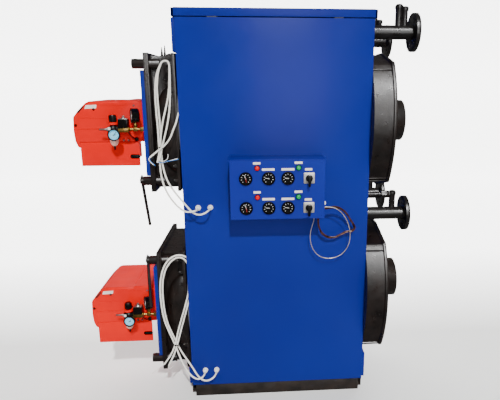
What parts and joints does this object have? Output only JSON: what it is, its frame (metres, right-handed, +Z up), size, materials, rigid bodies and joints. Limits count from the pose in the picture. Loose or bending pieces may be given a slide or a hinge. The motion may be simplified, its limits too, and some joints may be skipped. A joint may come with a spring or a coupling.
{
  "type": "twin-deck hot-water boiler set",
  "caption": "Stacked horizontal fire-tube boilers in a blue sheet-metal cabinet with oil burners, gauge box, flue spigots and flanged pipes.",
  "frame": {"origin": "centre of the underside of the plinth, on its middle crossbar", "axes": "+Z up; +X towards the flue end; -X towards the burners; -Y towards the side with the control box"},
  "size_m": [1.55, 0.7362, 1.861],
  "materials": {
    "casing_blue": "satin stove enamel",
    "plinth_black": "semi-gloss black",
    "boiler_black": "heat-resistant black paint",
    "inner_steel": "grey primer",
    "burner_orange": "gloss orange-red enamel",
    "refractory": "cast refractory",
    "pipe_black": "black pipe paint",
    "lever_steel": "black-brown paint",
    "box_blue": "satin stove enamel",
    "gauge_black": "gloss black",
    "lamp_red": "clear red",
    "lamp_green": "clear green",
    "switch_silver": "satin",
    "knob_black": "satin",
    "gland_white": "matt",
    "air_black": "gloss",
    "brass": "turned",
    "cable_white": "matt PVC",
    "sensor_brown": "glossy sleeve"
  },
  "bodies": {
    "root": {"plinth_side_rails": "plinth_black", "plinth_crossbars": "plinth_black", "near_side_panel": "casing_blue", "far_side_panel": "casing_blue", "left_end_trays": "casing_blue", "right_end_trays": "casing_blue", "lid": "casing_blue", "frame_posts": "inner_steel", "drum_saddles": "inner_steel", "control_box": "box_blue", "gauge_bodies": "gauge_black", "red_lamps": "lamp_red", "green_lamps": "lamp_green", "switch_plates": "switch_silver", "cable_glands": "gland_white", "upper_drum": "inner_steel", "upper_front_header": "boiler_black", "upper_smoke_box": "boiler_black", "upper_pipes": "pipe_black", "lower_drum": "inner_steel", "lower_front_header": "boiler_black", "lower_smoke_box": "boiler_black", "lower_pipes": "pipe_black", "white_cable_upper_left": "cable_white", "white_cable_upper_right": "cable_white", "white_cable_from_casing": "cable_white", "white_cable_lower_left": "cable_white", "white_cable_lower_right": "cable_white", "sensor_bundle": "sensor_brown", "sensor_capillary": "sensor_brown"},
    "upper_door": {"upper_door_plate": "boiler_black", "upper_door_cover": "casing_blue", "upper_door_lining": "refractory", "upper_burner_flange": "burner_orange", "upper_burner_hood": "burner_orange", "upper_burner_base": "burner_orange", "upper_air_regulator": "air_black", "upper_solenoid_valve": "air_black", "upper_manometer": "gauge_black", "upper_air_line": "brass"},
    "upper_lever": {"upper_latch_lever": "lever_steel"},
    "upper_knob": {"upper_switch_knob": "knob_black"},
    "lower_door": {"lower_door_plate": "boiler_black", "lower_door_cover": "casing_blue", "lower_door_lining": "refractory", "lower_burner_flange": "burner_orange", "lower_burner_hood": "burner_orange", "lower_burner_base": "burner_orange", "lower_air_regulator": "air_black", "lower_solenoid_valve": "air_black", "lower_manometer": "gauge_black", "lower_air_line": "brass"},
    "lower_lever": {"lower_latch_lever": "lever_steel"},
    "lower_knob": {"lower_switch_knob": "knob_black"}
  },
  "joints": [
    {"name": "upper_door_hinge", "type": "hinge", "parent": "root", "child": "upper_door", "pos_m": [-0.56, 0.262, 1.355], "axis": [0, 0, -1], "range_deg": [0, 105]},
    {"name": "upper_lever_turn", "type": "hinge", "parent": "upper_door", "child": "upper_lever", "pos_m": [-0.612, -0.216, 1.098], "axis": [-1, 0, 0], "range_deg": [0, 120]},
    {"name": "lower_door_hinge", "type": "hinge", "parent": "root", "child": "lower_door", "pos_m": [-0.56, 0.262, 0.458], "axis": [0, 0, -1], "range_deg": [0, 105]},
    {"name": "lower_lever_turn", "type": "hinge", "parent": "lower_door", "child": "lower_lever", "pos_m": [-0.612, -0.216, 0.715], "axis": [-1, 0, 0], "range_deg": [0, 120]},
    {"name": "upper_knob_turn", "type": "hinge", "parent": "root", "child": "upper_knob", "pos_m": [0.134, -0.395, 1.133], "axis": [0, -1, 0], "range_deg": [-60, 60]},
    {"name": "lower_knob_turn", "type": "hinge", "parent": "root", "child": "lower_knob", "pos_m": [0.134, -0.395, 1.0025], "axis": [0, -1, 0], "range_deg": [-60, 60]}
  ]
}
